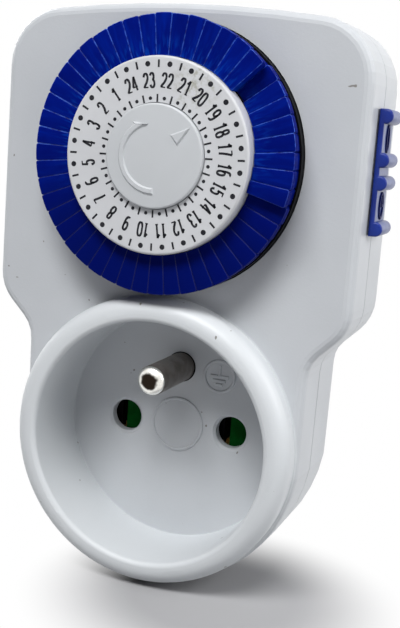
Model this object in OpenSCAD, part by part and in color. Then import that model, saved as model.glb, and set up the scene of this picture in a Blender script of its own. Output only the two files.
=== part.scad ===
// Plug-in mechanical timer switch with an earthed socket in front and a plug behind.
// The origin is the centre of the plug face, between the two plug pins.
// +Z is up, +X is right and -Y faces the room. Everything in front of the plug face has a negative Y.

/* [Housing] */
// Width of the housing across the dial
body_w = 60; // [59:0.5:61]
// Width of the narrow part round the socket
neck_w = 48; // [47.6:0.2:48.4]
// Height of the crowned top above the socket axis
body_top = 68; // [67.5:0.25:69]
// Height above the socket axis where the sides would meet the sloping shoulders
shoulder_z = 21.1; // [20.5:0.1:21.5]
// Radius of the two top corners
corner_r = 9.5; // [8.5:0.5:10.5]
// Radius of the shoulders, which round outwards
shoulder_r = 7; // [6:0.5:8]
// Radius of the necks, which round inwards
neck_r = 5; // [4:0.5:6]
// Radius of the crown along the top edge
crown_r = 200; // [160:10:300]
// Thickness of the housing walls
wall = 2; // [1.8:0.1:2]
// Radius of the front edge
front_edge_r = 1.4; // [1:0.1:1.8]
// Radius of the back edge
back_edge_r = 5; // [4:0.5:5]

/* [Depths] */
// Length of the round plug body behind the housing
plug_len = 15.5; // [15.5:0.1:16]
// Depth of the housing behind the socket floor
rear_depth = 12.5; // [12.5:0.1:13]
// Depth of the housing in front of the socket floor
front_depth = 9.75; // [9.7:0.05:10]
// Depth of the socket recess from rim to floor
recess_depth = 14.3; // [14.2:0.1:14.6]
// Distance of the parting line in front of the socket floor
seam_depth = 1.5; // [1.4:0.1:1.7]

/* [Socket] */
// Radius of the socket recess
recess_r = 19.4; // [19.3:0.05:19.5]
// Outer radius of the collar round the recess
collar_r = 23.2; // [23:0.1:23.4]
// Distance between the two contacts, and between the two plug pins
pin_spacing = 19; // [19:0.1:19.1]
// Radius of the contact holes
contact_hole_r = 2.7; // [2.6:0.05:2.8]
// Height of the earth pin above the contacts
earth_z = 10; // [10:0.1:10.1]
// Radius of the earth pin
earth_pin_r = 2.4; // [2.35:0.05:2.4]
// Length of the earth pin in front of the socket floor
earth_pin_len = 14; // [13.5:0.1:14]

/* [Plug] */
// Radius of the round plug body
plug_r = 18.4; // [18.3:0.05:18.4]
// Radius of the plug pins
pin_r = 2.4; // [2.35:0.05:2.4]
// Length of the plug pins behind the plug face
pin_len = 19; // [18.5:0.1:19]

/* [Dial] */
// Height of the dial's centre above the socket axis
dial_z = 44.8; // [44.8:0.05:45]
// Outer radius of the ring of switching tabs
tab_r = 20.3; // [20.2:0.05:20.35]
// Outer radius of the black tab carrier
carrier_r = 20.65; // [20.6:0.05:20.75]
// Radius of the numbered disc
disc_r = 14.6; // [14.5:0.05:14.65]
// Radius of the pointer hub
hub_r = 7.73; // [7.6:0.01:7.8]
// Clockwise angle of the first joint between two tabs, from the top
tab_phase = 1.5; // [1.4:0.1:1.6]
// Distance that a tab can be pushed in from its usual height
tab_stroke = 2; // [1.8:0.1:2]
// Distance that a tab can be pulled out from its usual height
tab_slack = 0.5; // [0.4:0.05:0.5]

/* [Slide switch] */
// Height of the switch's centre above the socket axis
switch_z = 44.75; // [44.5:0.05:45]
// Length of the switch plate
switch_len = 18.9; // [18.5:0.1:19.2]
// Width of the switch plate
switch_w = 7.4; // [7.2:0.1:7.6]
// Travel of the switch
switch_travel = 4; // [3.8:0.1:4]

/* [Hidden] */
$fn = 64;

grey = [0.86, 0.87, 0.88];
blue = [0.02, 0.09, 0.55];
black = [0.05, 0.05, 0.06];
white = [0.95, 0.95, 0.94];
green = [0.05, 0.35, 0.12];
red = [0.55, 0.1, 0.1];
steel = [0.75, 0.76, 0.78];
brass = [0.8, 0.65, 0.3];
natural = [0.92, 0.9, 0.82];

// planes along Y: the back of the housing, its inside, the socket floor, the front face and the rim
back_y = -plug_len;
back_in_y = back_y - wall;
floor_y = back_y - rear_depth;
floor_back_y = floor_y + wall;
face_y = floor_y - front_depth;
rim_y = floor_y - recess_depth;
seam_y = floor_y - seam_depth;
seam_gap = 0.2;
side_x = body_w / 2;

// dial stack along Y, from the front
hub_y = face_y - 8.3;
disc_y = face_y - 7.55;
tab_y = face_y - 4.6;
rim_top_y = face_y - 1.4;
disc_back_y = tab_y + 0.35;
carrier_floor_y = face_y + 1.35;
carrier_back_y = carrier_floor_y + 0.9;
gear_front_y = -32.2;
gear_back_y = -31.1;
wheel_front_y = -30.7;
wheel_back_y = -29.7;
plate_front_y = -29.4;
plate_back_y = -28.2;
motor_back_y = -17.9;

// fits
run_gap = 0.05;
post_r = 2;
axle_r = 0.8;
disc_well = 1.1;
dial_gap = 0.15;
rim_gap = 0.05;

// tabs
tab_count = 48;
tab_pitch = 360 / tab_count;
group_size = 8;
first_set_tab = 6;
tab_depth = 3.75;
tab_gap = 0.06;
tab_in_r = disc_r + 0.3;
tab_bevel = 0.12;
leg_in_r = 18.3;
leg_out_r = 19.5;
leg_w = 1.2;
leg_len = 3.7;
slot_gap = 0.2;

// gear train: the dial gear, the idler's pinion and wheel, and the motor pinion
gear_m = 0.5;
dial_teeth = 66;
small_teeth = 12;
wheel_teeth = 40;
mesh_a = gear_m * (dial_teeth + small_teeth) / 2;
mesh_b = gear_m * (wheel_teeth + small_teeth) / 2;
idler_dir = 222;
motor_dir = 62;
idler_x = mesh_a * cos(idler_dir);
idler_z = dial_z + mesh_a * sin(idler_dir);
pinion_x = idler_x + mesh_b * cos(motor_dir);
pinion_z = idler_z + mesh_b * sin(motor_dir);
motor_x = -3;
motor_z = 46;
motor_r = 16;

// microswitch and the lever that feels the tabs
ms_x = 21.6;
ms_w = 6.4;
ms_front_y = -27.5;
ms_z0 = 24;
ms_z1 = 44;
cover_t = 1.4;
button_z = 34;
button_r = 1.2;
lever_y = -29.6;
lever_z = 25.5;
lever_top = 39.5;
nose_y = -31.45;
nose_z = 37.8;

// slide switch
stem_z = switch_z - 0.25;
stem_h = 4;
stem_w = 2.2;
stem_gap = 0.2;
plate_t = 0.8;
pad_t = 0.35;
ridge_r = 1.1;
upper_ridge_z = switch_z + 1.9;
lower_ridge_z = switch_z - 1.5;

// socket contacts, their bars, the shutter and their holder
leaf_z = 2.5;
leaf_t = 0.8;
leaf_w = 4.4;
contact_back_y = -11;
pin_back_y = -6.4;
pin_flange = 0.8;
pin_root = 0.4;
plug_face_back_y = -3;
earth_hole_r = 2.7;
earth_seat_r = 2;
strap_y = plug_face_back_y - 0.7;
clip_w = 5;
sleeve_back_y = -15.2;
link_y = -22;
feed_y = back_in_y - 0.9;
switched_y = -22.4;
bar_x0 = 15.2;
bar_x1 = 17.6;
bar_turn_z = 20.4;
bar_w = 2.2;
holder_front_y = -24.2;
holder_back_y = -9.6;
shutter_y0 = floor_back_y + 0.2;
shutter_y1 = shutter_y0 + 1.4;
shutter_end_x = pin_spacing / 2 + 3.2;
spring_z = -5.3;
stop_x = 18.6;

// screws
screw_r = 1.25;
screw_head_r = 2;
screw_head_t = 1.4;
seat_y = back_y - 2.6;
boss_r = 3;
screw_spots = [[-23.5, 60.5], [23.5, 60.5], [-21.5, 19.5], [21.5, 19.5]];
plate_spots = [[-15.5, 60.5], [13, 60.5], [2, 25.5]];
plate_screw_r = 0.9;

// ---- helpers ----
// A solid of revolution about the Y axis: the profile is drawn as (radius, Y).
module turned() {
    rotate([-90, 0, 0]) rotate_extrude() children();
}
// A flat outline drawn in (X, Z), extruded from y0 back to y1.
module slab(y0, y1) {
    translate([0, y1, 0]) rotate([90, 0, 0]) linear_extrude(y1 - y0) children();
}
// A round bar along Y.
module rod(x, z, y0, y1, r) {
    translate([x, y0, z]) rotate([-90, 0, 0]) cylinder(h = y1 - y0, r = r);
}
// A round bar along X.
module cross_rod(x0, x1, y, z, r) {
    translate([x0, y, z]) rotate([0, 90, 0]) cylinder(h = x1 - x0, r = r);
}
// A box between two corners.
module block(a, b) {
    translate(a) cube(b - a);
}
// A rectangle with true round corners, centred at (x, z).
module round_rect(x, z, w, h, r) {
    translate([x, z]) {
        square([w - 2 * r, h], center = true);
        square([w, h - 2 * r], center = true);
        for (i = [-1, 1], j = [-1, 1]) translate([i * (w / 2 - r), j * (h / 2 - r)]) circle(r);
    }
}
// A quarter disc that rounds a corner of a turned profile; sx and sy say which quarter.
module quarter(x, y, r, sx, sy) {
    translate([x, y]) intersection() {
        circle(r);
        translate([sx < 0 ? -r : 0, sy < 0 ? -r : 0]) square(r);
    }
}
function ordered(a, b) = [min(a, b), max(a, b)];
function flip(v) = [for (i = [len(v) - 1:-1:0]) v[i]];

// Points of an arc in (x, z), without its last point.
function arc(cx, cz, r, a0, a1, n) = [for (i = [0:n - 1])
    let (a = a0 + (a1 - a0) * i / n) [cx + r * cos(a), cz + r * sin(a)]];

// Right half of the housing outline, inset by d, from the bottom round to the top.
crown_a = asin((side_x - corner_r) / (crown_r - corner_r));
crown_cz = body_top - crown_r;
corner_cz = crown_cz + (crown_r - corner_r) * cos(crown_a);
shoulder_cz = shoulder_z + shoulder_r * tan(22.5);
neck_cx = neck_w / 2 + neck_r;
neck_cz = shoulder_z - (body_w - neck_w) / 2 - neck_r * tan(22.5);
function half_outline(d) = concat(
    arc(0, 0, neck_w / 2 - d, -90, 0, 12),
    arc(neck_cx, neck_cz, neck_r + d, 180, 135, 3),
    [[neck_cx, neck_cz] + (neck_r + d) * [-cos(45), sin(45)]],
    arc(side_x - shoulder_r, shoulder_cz, shoulder_r - d, -45, 0, 4),
    [[side_x - d, shoulder_cz]],
    arc(side_x - corner_r, corner_cz, corner_r - d, 0, 90 - crown_a, 8),
    arc(0, crown_cz, crown_r - d, 90 - crown_a, 90, 3));
function outline(d) = let (h = half_outline(d), n = len(h))
    concat(h, [[0, body_top - d]], [for (i = [n - 1:-1:1]) [-h[i][0], h[i][1]]]);
function ring(d, y) = [for (p = outline(d)) [p[0], y, p[1]]];

// A closed skin through rings of equal length, front to back, capped by fans.
module loft(rings, front, back) {
    n = len(rings[0]);
    m = len(rings);
    sides = [for (k = [0:m - 2], i = [0:n - 1]) let (j = (i + 1) % n)
        each [[k * n + i, k * n + j, k * n + n + j], [k * n + i, k * n + n + j, k * n + n + i]]];
    caps = [for (i = [0:n - 1]) let (j = (i + 1) % n)
        each [[m * n, j, i], [m * n + 1, (m - 1) * n + i, (m - 1) * n + j]]];
    polyhedron(concat([for (r = rings) each r], [front, back]), concat(sides, caps));
}
// The housing's form through steps of [inset, Y].
module body_loft(steps) {
    loft([for (s = steps) ring(s[0], s[1])], [0, steps[0][1], 18], [0, steps[len(steps) - 1][1], 18]);
}
// Steps round an edge of radius r, from the flat face at y to the wall at inset d0.
function edge_steps(d0, r, y, dir, n) = [for (i = [0:n]) let (a = 90 * i / n)
    [d0 + r * (1 - sin(a)), y + dir * r * (1 - cos(a))]];

// ---- housing ----
module collar_profile() {
    lip = 2.6;
    edge = 0.8;
    polygon([[recess_r, floor_back_y], [recess_r, rim_y + edge], [recess_r + edge, rim_y],
        [collar_r - lip, rim_y], [collar_r, rim_y + lip], [collar_r, face_y + 1],
        [recess_r + wall, face_y + 1], [recess_r + wall, floor_back_y]]);
    quarter(recess_r + edge, rim_y + edge, edge, -1, -1);
    quarter(collar_r - lip, rim_y + lip, lip, 1, -1);
}
module contact_hole(x) {
    lead_in = 0.45;
    rod(x, 0, floor_y - 1, floor_back_y + 1, contact_hole_r);
    translate([x, floor_y - 0.01, 0]) rotate([-90, 0, 0])
        cylinder(h = lead_in, r1 = contact_hole_r + lead_in, r2 = contact_hole_r);
}
// The opening in the side walls for the stem of the slide switch
module switch_slot() {
    z0 = stem_z - stem_h / 2 - switch_travel - stem_gap;
    z1 = stem_z + stem_h / 2 + stem_gap;
    y = stem_w / 2 + stem_gap;
    block([side_x - wall - 1.5, seam_y - y, z0], [side_x + 1, seam_y + y, z1]);
}
module front_shell() {
    dial_hole_r = carrier_r + dial_gap;
    color(grey) difference() {
        union() {
            difference() {
                body_loft(concat(edge_steps(0.15, front_edge_r, face_y, 1, 4), [[0, seam_y]]));
                body_loft([[wall + 0.9, face_y + wall], [wall + 0.25, face_y + wall + 0.9],
                    [wall, seam_y - 1.2], [wall, seam_y + 1]]);
                rod(0, 0, face_y - 1, seam_y + 1, recess_r + 0.5);
            }
            turned() collar_profile();
            rod(0, 0, floor_y, floor_back_y, recess_r + 1);
            rod(0, dial_z, face_y + 1, face_y + wall + 1.6, dial_hole_r + 1.2);
            for (s = screw_spots) rod(s[0], s[1], face_y + 1, seam_y, boss_r);
        }
        rod(0, dial_z, face_y - 1, seam_y + 1, dial_hole_r);
        for (i = [-1, 1]) contact_hole(i * pin_spacing / 2);
        rod(0, earth_z, floor_y - 1, floor_back_y + 1, earth_seat_r);
        for (s = screw_spots) rod(s[0], s[1], face_y + 2, seam_y + 1, screw_r);
        switch_slot();
    }
}
module plug_profile() {
    inner = plug_r - wall;
    ledge = 1;
    edge = 1;
    seat_back_y = plug_face_back_y - 1.2;
    polygon([[inner, back_in_y], [plug_r, back_in_y], [plug_r, -edge], [plug_r - edge, 0], [inner, 0],
        [inner, plug_face_back_y], [inner - ledge, plug_face_back_y], [inner - ledge, seat_back_y],
        [inner, seat_back_y - ledge]]);
    quarter(plug_r - edge, -edge, edge, 1, 1);
}
// Guide grooves on the left and right of the plug body
module guide_groove(i) {
    block([i * (plug_r + 1) - 2.2, back_y + 1, -2.5], [i * (plug_r + 1) + 2.2, 1, 2.5]);
}
// Slots at the top and bottom of the plug body, through which the earth clips stand out
module clip_slot(i) {
    w = clip_w / 2 + 0.5;
    block([-w, back_y + 2.5, i * 17.5 - 2.6], [w, -2.6, i * 17.5 + 2.6]);
}
module back_shell() {
    lip = wall + 0.1;
    lip_y = seam_y - 1.1;
    color(grey) difference() {
        union() {
            difference() {
                body_loft(concat([[0, seam_y + seam_gap]], flip(edge_steps(0, back_edge_r, back_y, -1, 6))));
                body_loft([[wall, seam_y - 1], [wall, back_y - back_edge_r], [wall + 1.4, back_in_y - 1],
                    [wall + 3, back_in_y]]);
                rod(0, 0, back_in_y - 1, back_y + 1, plug_r - 0.5);
            }
            // tongue that slips inside the front shell
            difference() {
                body_loft([[lip, lip_y], [lip, seam_y + seam_gap], [lip - 0.2, seam_y + 0.4],
                    [lip - 0.2, seam_y + 1.2]]);
                body_loft([[lip + 1, lip_y - 1], [lip + 1, seam_y + 2]]);
                for (s = screw_spots) rod(s[0], s[1], lip_y - 1, seam_y, boss_r + 0.2);
                rod(0, 0, lip_y - 1, seam_y + 2, recess_r + wall + 0.2);
                block([side_x - wall - 3, lip_y - 1, stem_z - 12.5],
                    [side_x - wall, seam_y + stem_w / 2 + 1, stem_z + stem_h + 1]);
            }
            turned() plug_profile();
            for (s = screw_spots) rod(s[0], s[1], seam_y, back_y - 1, boss_r);
            for (s = plate_spots) rod(s[0], s[1], plate_back_y, back_y - 1, 2.2);
        }
        for (i = [-1, 1]) guide_groove(i);
        for (i = [-1, 1]) clip_slot(i);
        for (s = plate_spots) rod(s[0], s[1], plate_back_y - 1, plate_back_y + 7, plate_screw_r);
        for (s = screw_spots) {
            rod(s[0], s[1], seam_y - 1, 1, screw_r + run_gap);
            rod(s[0], s[1], seat_y, 1, screw_head_r + 0.2);
        }
        switch_slot();
    }
}
module plug_face() {
    color(grey) difference() {
        rod(0, 0, plug_face_back_y, 0, plug_r - wall - run_gap);
        for (i = [-1, 1]) rod(i * pin_spacing / 2, 0, plug_face_back_y - 1, 1, pin_r + pin_root + run_gap);
        rod(0, earth_z, plug_face_back_y - 1, 1, earth_hole_r);
    }
}

// ---- plug and socket metal ----
// A pin with a thicker root, and a flange that seats against the back of the plug face
module plug_pin(x) {
    color(steel) {
        rod(x, 0, pin_back_y, plug_face_back_y, pin_r + pin_flange);
        rod(x, 0, plug_face_back_y - 0.1, 0, pin_r + pin_root);
        rod(x, 0, -0.1, pin_len - pin_r, pin_r);
        translate([x, pin_len - pin_r, 0]) sphere(pin_r);
    }
}
// The hole that takes the wall socket's earth pin
module plug_earth_sleeve() {
    color(brass) difference() {
        rod(0, earth_z, sleeve_back_y, -0.4, earth_hole_r);
        rod(0, earth_z, sleeve_back_y + 1, 0, earth_pin_r + run_gap);
    }
}
// One end of the clip strap: a foot, and a spring strip along the slot, bowed outwards
module clip(i) {
    foot = ordered(i * (plug_r - 3.2), i * (plug_r - 0.6));
    strip = ordered(i * (plug_r - 1), i * (plug_r - 0.4));
    w = clip_w / 2;
    block([-w, strap_y, foot[0]], [w, plug_face_back_y, foot[1]]);
    block([-w, back_y + 3.2, strip[0]], [w, plug_face_back_y, strip[1]]);
    cross_rod(-w, w, -7.9, i * (plug_r - 0.25), 0.75);
}
module plug_earth_clips() {
    color(brass) difference() {
        union() {
            block([-clip_w / 2, strap_y, 3.2 - plug_r], [clip_w / 2, plug_face_back_y, plug_r - 3.2]);
            for (i = [-1, 1]) clip(i);
            rod(0, earth_z, strap_y, plug_face_back_y, earth_hole_r + 1.5);
        }
        rod(0, earth_z, strap_y - 1, plug_face_back_y + 1, earth_hole_r);
    }
}
// Joins the socket's earth pin to the plug's earth sleeve
module earth_link() {
    color(brass) rod(0, earth_z, link_y, sleeve_back_y, 1.6);
}
module socket_earth_pin() {
    tip = 1.5;
    tip_y = floor_y - earth_pin_len + tip;
    color(steel) {
        rod(0, earth_z, tip_y, floor_y, earth_pin_r);
        rod(0, earth_z, floor_y - 0.1, link_y, earth_seat_r);
        translate([0, 0, earth_z]) turned() translate([0, tip_y]) intersection() {
            scale([1, tip / earth_pin_r]) circle(earth_pin_r);
            translate([0, -tip]) square([earth_pin_r, tip]);
        }
        rod(0, earth_z, floor_back_y, floor_back_y + 1, earth_pin_r + 1);
    }
}
// Moulded block on the back wall that holds the contacts and guides the shutter
module contact_holder() {
    pocket = leaf_w / 2 + 0.1;
    color(natural) difference() {
        union() {
            rod(0, 0, back_in_y - 1.4, back_in_y, plug_r + 0.4);
            intersection() {
                block([-14.5, holder_front_y, -5.4], [14.5, holder_back_y, 5.4]);
                rod(0, 0, holder_front_y - 1, 0, plug_r - wall - 1.1);
            }
            // rails under and over the shutter, and the spring's stop
            block([-13, holder_front_y, -7.6], [13, back_in_y - 1, -5]);
            block([-13, shutter_y0, -7.6], [stop_x + 1.2, holder_front_y + 2, -6.6]);
            block([stop_x, shutter_y0, -7.6], [stop_x + 1.2, holder_front_y, -4]);
            block([-12, shutter_y0, 3.5], [14, holder_front_y + 0.6, 4.5]);
        }
        for (i = [-1, 1])
            block([i * pin_spacing / 2 - pocket, holder_front_y, -4.1],
                [i * pin_spacing / 2 + pocket, contact_back_y, 4.1]);
        block([-pin_spacing / 2 - 1.1, contact_back_y - 1, -1.6], [-pin_spacing / 2 + 1.1, 0, 1.6]);
        // ways for the two live bars and the earth link
        block([13.1, feed_y - 0.1, -1.6], [15, 0, 1.6]);
        block([10.9, feed_y - 1, -1.6], [14.1, back_in_y + 0.1, 20]);
        block([7.4, switched_y - 0.1, 4], [11.6, switched_y + leaf_t + 0.1, 6]);
        rod(0, earth_z, link_y, 0, earth_hole_r + 0.1);
    }
}
// A contact: two leaves that grip a pin, flared at their mouth, on a cross plate
module contact(x) {
    w = leaf_w / 2;
    flare = 0.5;
    for (i = [-1, 1]) {
        leaf = ordered(i * leaf_z, i * (leaf_z + leaf_t));
        mouth = ordered(i * (leaf_z + flare), i * (leaf_z + flare + leaf_t));
        block([x - w, -22.8, leaf[0]], [x + w, contact_back_y, leaf[1]]);
        block([x - w, -23.9, mouth[0]], [x + w, -22.6, mouth[1]]);
    }
    block([x - w, contact_back_y - leaf_t, -leaf_z - leaf_t], [x + w, contact_back_y, leaf_z + leaf_t]);
}
module live_contact() {
    color(brass) contact(pin_spacing / 2);
}
module neutral_contact() {
    x = -pin_spacing / 2;
    color(brass) {
        contact(x);
        block([x - 1, contact_back_y, -1.5], [x + 1, pin_back_y, 1.5]);
    }
}
// From the live plug pin to the microswitch
module live_feed_bar() {
    color(brass) {
        block([8.5, pin_back_y - leaf_t, -1.5], [14, pin_back_y, 1.5]);
        block([13.2, feed_y, -1.5], [14, pin_back_y, 1.5]);
        block([11.9, feed_y, -1.5], [14, feed_y + leaf_t, bar_turn_z + bar_w]);
        block([11.9, feed_y, bar_turn_z], [bar_x1, feed_y + leaf_t, bar_turn_z + bar_w]);
        block([bar_x0, feed_y, bar_turn_z], [bar_x1, feed_y + leaf_t, 29]);
    }
}
// From the microswitch to the socket's live contact
module live_switched_bar() {
    y1 = switched_y + leaf_t;
    color(brass) {
        block([7.5, switched_y, leaf_z + leaf_t], [11.5, y1, bar_turn_z + bar_w]);
        block([7.5, switched_y, bar_turn_z], [bar_x1, y1, bar_turn_z + bar_w]);
        block([bar_x0, switched_y, bar_turn_z], [bar_x1, y1, 33]);
    }
}
// Two blades behind the contact holes, joined by a bar below
module shutter() {
    blade_w = 3.9;
    color(green) slab(shutter_y0, shutter_y1) {
        for (i = [-1, 1]) translate([i * pin_spacing / 2 + 3.2 - blade_w, -5]) square([blade_w, 8.2]);
        translate([3.2 - pin_spacing / 2 - blade_w, -6.4]) square([pin_spacing + blade_w, 2.2]);
    }
}
// A round wire of radius w on a helix of radius r about the X axis
function coil_ring(a, x0, pitch, r, w, n) = [for (k = [0:n - 1]) let (b = 360 * k / n)
    [x0 + pitch * a / 360 + w * sin(b), (r + w * cos(b)) * cos(a), (r + w * cos(b)) * sin(a)]];
module shutter_spring() {
    turns = 5;
    x0 = shutter_end_x + 0.15;
    pitch = (stop_x - shutter_end_x - 0.3) / turns;
    coil_r = 0.55;
    wire_r = 0.13;
    color(steel) translate([0, (shutter_y0 + shutter_y1) / 2, spring_z])
        loft([for (a = [0:30:360 * turns]) coil_ring(a, x0, pitch, coil_r, wire_r, 6)],
            [x0, coil_r, 0], [x0 + pitch * turns, coil_r, 0]);
}

// ---- movement ----
// A gear with straight-flanked teeth, one tooth centred on the direction turn
module gear_outline(teeth, turn, root = 1.2) {
    rp = gear_m * teeth / 2;
    ra = rp + 0.85 * gear_m;
    rf = rp - root * gear_m;
    pitch_a = 360 / teeth;
    flank = [[rf, -0.31], [rp, -0.225], [ra, -0.11], [ra, 0.11], [rp, 0.225], [rf, 0.31]];
    polygon([for (i = [0:teeth - 1]) each [for (q = flank)
        let (a = turn + (i + q[1]) * pitch_a) q[0] * [cos(a), sin(a)]]]);
}
// Direction that puts a gap of this gear in the direction dir
function gap_turn(teeth, dir) = dir + 180 / teeth;
module dial_gear() {
    hub = 9;
    window_r = 2.4;
    window_at = 12.5;
    color(natural) difference() {
        union() {
            translate([0, 0, dial_z]) slab(gear_front_y, gear_back_y) gear_outline(dial_teeth, idler_dir);
            rod(0, dial_z, carrier_back_y, gear_front_y, hub);
        }
        rod(0, dial_z, carrier_back_y - 1, gear_back_y + 1, post_r + run_gap);
        for (a = [0:60:300])
            rod(window_at * cos(a), dial_z + window_at * sin(a), gear_front_y - 1, gear_back_y + 1, window_r);
    }
}
module idler_gear() {
    color(natural) translate([idler_x, 0, idler_z]) difference() {
        union() {
            slab(wheel_front_y, wheel_back_y) gear_outline(wheel_teeth, motor_dir);
            slab(gear_front_y, wheel_front_y)
                gear_outline(small_teeth, gap_turn(small_teeth, idler_dir + 180), 1.1);
        }
        rod(0, 0, gear_front_y - 1, wheel_back_y + 1, axle_r + run_gap);
    }
}
module motor_pinion() {
    color(natural) translate([pinion_x, 0, pinion_z]) difference() {
        union() {
            slab(wheel_front_y - 0.1, wheel_back_y + 0.1)
                gear_outline(small_teeth, gap_turn(small_teeth, motor_dir + 180), 1.1);
            rod(0, 0, wheel_back_y, plate_back_y - 0.1, 2);
        }
        rod(0, 0, wheel_front_y - 1, plate_back_y + 1, axle_r + run_gap);
    }
}
module idler_axle() {
    color(steel) rod(idler_x, idler_z, gear_front_y - 0.5, plate_back_y, axle_r);
}
module movement_plate() {
    color(natural) slab(plate_front_y, plate_back_y) difference() {
        union() {
            round_rect(-1.5, 43, 36, 38, 4);
            for (s = plate_spots) translate(s) circle(3);
        }
        translate([idler_x, idler_z]) circle(axle_r);
        translate([pinion_x, pinion_z]) circle(2.6);
        translate([0, dial_z]) circle(post_r);
        for (s = plate_spots) translate(s) circle(plate_screw_r + 0.15);
    }
}
// Sealed synchronous motor with its reduction gearbox; its shaft is part of the can
module motor_can() {
    edge = 0.8;
    color(steel) {
        translate([motor_x, 0, motor_z]) turned() {
            polygon([[0, plate_back_y], [motor_r - edge, plate_back_y], [motor_r, plate_back_y + edge],
                [motor_r, motor_back_y - edge], [motor_r - edge, motor_back_y], [0, motor_back_y]]);
            quarter(motor_r - edge, plate_back_y + edge, edge, 1, -1);
            quarter(motor_r - edge, motor_back_y - edge, edge, 1, 1);
        }
        rod(pinion_x, pinion_z, wheel_front_y - 0.1, plate_back_y + 0.1, axle_r);
    }
}
module dial_post() {
    color(steel) {
        rod(0, dial_z, disc_y + disc_well, plate_back_y, post_r);
        rod(0, dial_z, gear_back_y + 0.1, plate_front_y, post_r + 1.2);
    }
}
// An arrow that gives the direction of rotation, and a triangular time mark
module hub_marks() {
    arrow_a = 34;
    mark_a = 51;
    difference() {
        circle(5.55);
        circle(4.65);
        polygon([[0, 0], 8 * [-sin(arrow_a), cos(arrow_a)], [8, 8], [8, -8], [0.6, -8]]);
    }
    rotate(arrow_a) polygon([[-0.3, 4.6], [1.82, 4.41], [-0.3, 6.06]]);
    rotate(-mark_a) translate([0, 7.3]) polygon([[0, 0], [-0.93, -3.3], [0.93, -3.3]]);
}
// Stands still in front of the turning disc and points to the time
module pointer_hub() {
    edge = 0.35;
    back = disc_y + disc_well - 0.1;
    color(grey) difference() {
        union() {
            translate([0, 0, dial_z]) turned() {
                polygon([[0, hub_y], [hub_r - edge, hub_y], [hub_r, hub_y + edge], [hub_r, back], [0, back]]);
                quarter(hub_r - edge, hub_y + edge, edge, 1, -1);
            }
            rod(0, dial_z, disc_y, disc_y + 2.4, 3.4);
            translate([0, 0, dial_z]) slab(hub_y - 0.25, hub_y + 0.1) hub_marks();
        }
        rod(0, dial_z, disc_y + disc_well, disc_y + 3, post_r);
    }
}
module number_disc() {
    edge = 0.4;
    color(white) difference() {
        translate([0, 0, dial_z]) turned() {
            polygon([[0, disc_y], [disc_r - edge, disc_y], [disc_r, disc_y + edge], [disc_r, disc_back_y],
                [0, disc_back_y]]);
            quarter(disc_r - edge, disc_y + edge, edge, 1, -1);
        }
        rod(0, dial_z, disc_y - 1, disc_y + disc_well, hub_r + 0.12);
        rod(0, dial_z, disc_y, disc_y + 2.6, 3.6);
        rod(0, dial_z, disc_y, disc_back_y + 1, post_r + run_gap);
    }
}
module tab_carrier() {
    rim_in_r = tab_r + rim_gap;
    color(black) difference() {
        union() {
            rod(0, dial_z, carrier_floor_y, carrier_back_y, carrier_r);
            translate([0, 0, dial_z]) turned() polygon([[rim_in_r, rim_top_y], [carrier_r, rim_top_y],
                [carrier_r, carrier_back_y], [rim_in_r, carrier_back_y]]);
            rod(0, dial_z, disc_back_y, carrier_back_y, tab_in_r - 0.1);
        }
        rod(0, dial_z, disc_back_y - 1, carrier_back_y + 1, post_r + run_gap);
        for (i = [0:tab_count - 1]) translate([0, 0, dial_z]) rotate([0, tab_angle(i), 0])
            block([-leg_w / 2 - slot_gap, carrier_floor_y - 1, leg_in_r - slot_gap],
                [leg_w / 2 + slot_gap, carrier_back_y + 1, leg_out_r + slot_gap]);
    }
}
// Clockwise angle of a tab's middle, as seen from the front
function tab_angle(i) = tab_phase + tab_pitch * (i + 0.5);
// How far a tab stands in from its usual height. The eight from 19:00 to 15:30 are set in steps, those
// before them stand out a little more and more, and those after them settle back to the usual height.
function tab_level(i) =
    let (k = (i - first_set_tab + tab_count) % tab_count, last = group_size - 1, deep = 0.9 * tab_stroke)
    k <= last ? deep - (deep + tab_slack) * k / last :
    k < 2 * group_size ? 0.5 * deep * (2 * group_size - 1 - k) / last :
    k >= tab_count - group_size ? -tab_slack * (k - tab_count + group_size) / last : 0;
// One tab: a wedge of the ring, inset by d at its front edge, with a leg through the carrier
function tab_edge(r, side) = let (a = side * (tab_pitch / 2 - asin(tab_gap / r))) [r * sin(a), r * cos(a)];
function tab_ring(d, y) = [for (p = [tab_edge(tab_in_r + d, 1) - [d, 0], tab_edge(tab_r - d, 1) - [d, 0],
    [0, tab_r - d], tab_edge(tab_r - d, -1) + [d, 0], tab_edge(tab_in_r + d, -1) + [d, 0]]) [p[0], y, p[1]]];
module tab(i) {
    front = tab_y + tab_level(i);
    back = front + tab_depth;
    middle = (tab_in_r + tab_r) / 2;
    translate([0, 0, dial_z]) rotate([0, tab_angle(i), 0]) {
        loft([tab_ring(tab_bevel, front), tab_ring(0, front + tab_bevel), tab_ring(0, back)],
            [0, front, middle], [0, back, middle]);
        block([-leg_w / 2, back - 0.5, leg_in_r], [leg_w / 2, back + leg_len, leg_out_r]);
    }
}
module set_tab(k) {
    color(blue) tab(first_set_tab + k);
}
module tab_group(g) {
    color(blue) for (k = [0:group_size - 1]) tab(first_set_tab + g * group_size + k);
}

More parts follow.
